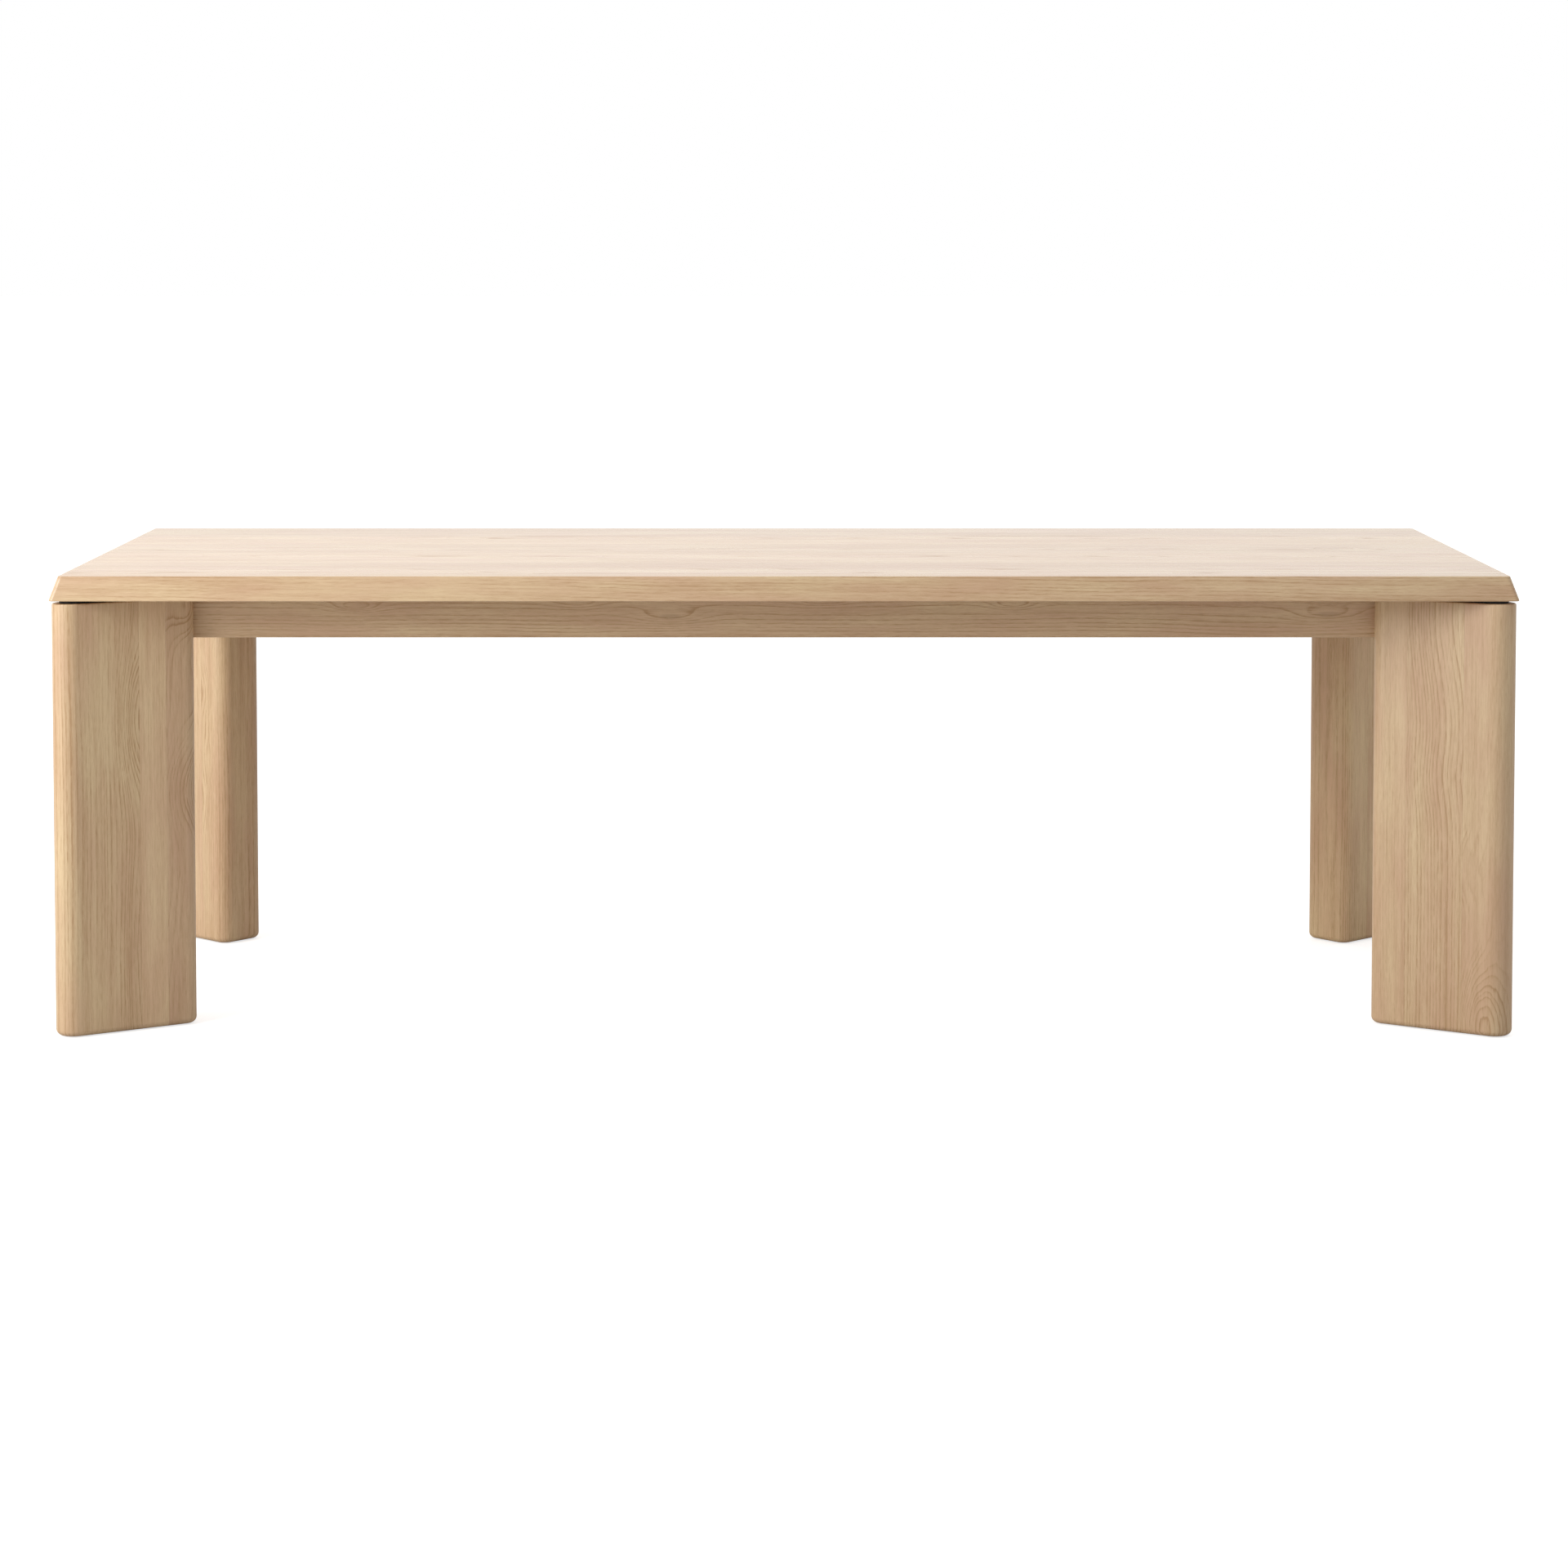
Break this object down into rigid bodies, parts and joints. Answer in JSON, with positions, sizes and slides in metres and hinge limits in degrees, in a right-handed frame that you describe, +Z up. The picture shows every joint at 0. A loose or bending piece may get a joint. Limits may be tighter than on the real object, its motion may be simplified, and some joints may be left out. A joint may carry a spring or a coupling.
{
  "type": "rectangular wooden table",
  "caption": "Long solid oak table with bevelled top edges, diagonal wedge legs under the corners and a set-back apron frame, for dining, meeting or communion use.",
  "frame": {"origin": "on the floor under the middle of the table top", "axes": "+X along the table's length to the right of someone facing the front, +Y towards the back, +Z up; the front is -Y"},
  "size_m": [2.4, 1, 0.76],
  "materials": {
    "top_oak": "matt oiled, pale, lengthwise grain",
    "apron_oak": "matt oiled, lengthwise grain",
    "leg_oak": "matt oiled, upright grain",
    "black_steel": "black powder coat",
    "zinc_steel": "bright zinc plate",
    "foot_nylon": "matt black nylon"
  },
  "bodies": {
    "table_frame": {"top_board_1": "top_oak", "top_board_2": "top_oak", "top_board_3": "top_oak", "top_board_4": "top_oak", "top_board_5": "top_oak", "top_board_6": "top_oak", "long_rail_front": "apron_oak", "long_rail_back": "apron_oak", "end_rail_left": "apron_oak", "end_rail_right": "apron_oak", "cross_bearer_left": "apron_oak", "cross_bearer_right": "apron_oak", "bearer_screw_left_front": "zinc_steel", "bearer_screw_left_back": "zinc_steel", "bearer_screw_right_front": "zinc_steel", "bearer_screw_right_back": "zinc_steel", "leg_front_left_stave_1": "leg_oak", "leg_front_left_stave_2": "leg_oak", "leg_front_left_stave_3": "leg_oak", "leg_plate_front_left": "black_steel", "leg_screw_front_left_1": "zinc_steel", "leg_screw_front_left_2": "zinc_steel", "plate_bolt_front_left_1": "zinc_steel", "plate_bolt_front_left_2": "zinc_steel", "foot_insert_front_left": "zinc_steel", "leg_front_right_stave_1": "leg_oak", "leg_front_right_stave_2": "leg_oak", "leg_front_right_stave_3": "leg_oak", "leg_plate_front_right": "black_steel", "leg_screw_front_right_1": "zinc_steel", "leg_screw_front_right_2": "zinc_steel", "plate_bolt_front_right_1": "zinc_steel", "plate_bolt_front_right_2": "zinc_steel", "foot_insert_front_right": "zinc_steel", "leg_back_left_stave_1": "leg_oak", "leg_back_left_stave_2": "leg_oak", "leg_back_left_stave_3": "leg_oak", "leg_plate_back_left": "black_steel", "leg_screw_back_left_1": "zinc_steel", "leg_screw_back_left_2": "zinc_steel", "plate_bolt_back_left_1": "zinc_steel", "plate_bolt_back_left_2": "zinc_steel", "foot_insert_back_left": "zinc_steel", "leg_back_right_stave_1": "leg_oak", "leg_back_right_stave_2": "leg_oak", "leg_back_right_stave_3": "leg_oak", "leg_plate_back_right": "black_steel", "leg_screw_back_right_1": "zinc_steel", "leg_screw_back_right_2": "zinc_steel", "plate_bolt_back_right_1": "zinc_steel", "plate_bolt_back_right_2": "zinc_steel", "foot_insert_back_right": "zinc_steel"},
    "pad_front_left": {"foot_pad_front_left": "foot_nylon"},
    "stud_front_left": {"foot_stud_front_left": "zinc_steel"},
    "pad_front_right": {"foot_pad_front_right": "foot_nylon"},
    "stud_front_right": {"foot_stud_front_right": "zinc_steel"},
    "pad_back_left": {"foot_pad_back_left": "foot_nylon"},
    "stud_back_left": {"foot_stud_back_left": "zinc_steel"},
    "pad_back_right": {"foot_pad_back_right": "foot_nylon"},
    "stud_back_right": {"foot_stud_back_right": "zinc_steel"}
  },
  "joints": [
    {"name": "foot_height_front_left", "type": "slide", "parent": "table_frame", "child": "pad_front_left", "axis": [0, 0, -1], "range_m": [0, 0.01]},
    {"name": "foot_screw_front_left", "type": "hinge", "parent": "pad_front_left", "child": "stud_front_left", "pos_m": [-1.10724, -0.42235, 0.02], "axis": [0, 0, -1], "range_deg": [0, 2880]},
    {"name": "foot_height_front_right", "type": "slide", "parent": "table_frame", "child": "pad_front_right", "axis": [0, 0, -1], "range_m": [0, 0.01]},
    {"name": "foot_screw_front_right", "type": "hinge", "parent": "pad_front_right", "child": "stud_front_right", "pos_m": [1.10724, -0.42235, 0.02], "axis": [0, 0, -1], "range_deg": [0, 2880]},
    {"name": "foot_height_back_left", "type": "slide", "parent": "table_frame", "child": "pad_back_left", "axis": [0, 0, -1], "range_m": [0, 0.01]},
    {"name": "foot_screw_back_left", "type": "hinge", "parent": "pad_back_left", "child": "stud_back_left", "pos_m": [-1.10724, 0.42235, 0.02], "axis": [0, 0, -1], "range_deg": [0, 2880]},
    {"name": "foot_height_back_right", "type": "slide", "parent": "table_frame", "child": "pad_back_right", "axis": [0, 0, -1], "range_m": [0, 0.01]},
    {"name": "foot_screw_back_right", "type": "hinge", "parent": "pad_back_right", "child": "stud_back_right", "pos_m": [1.10724, 0.42235, 0.02], "axis": [0, 0, -1], "range_deg": [0, 2880]}
  ],
  "couplings": [
    {"joint": "foot_screw_front_left", "follows": "foot_height_front_left", "rad_per_m": 5026.5},
    {"joint": "foot_screw_front_right", "follows": "foot_height_front_right", "rad_per_m": 5026.5},
    {"joint": "foot_screw_back_left", "follows": "foot_height_back_left", "rad_per_m": 5026.5},
    {"joint": "foot_screw_back_right", "follows": "foot_height_back_right", "rad_per_m": 5026.5}
  ]
}
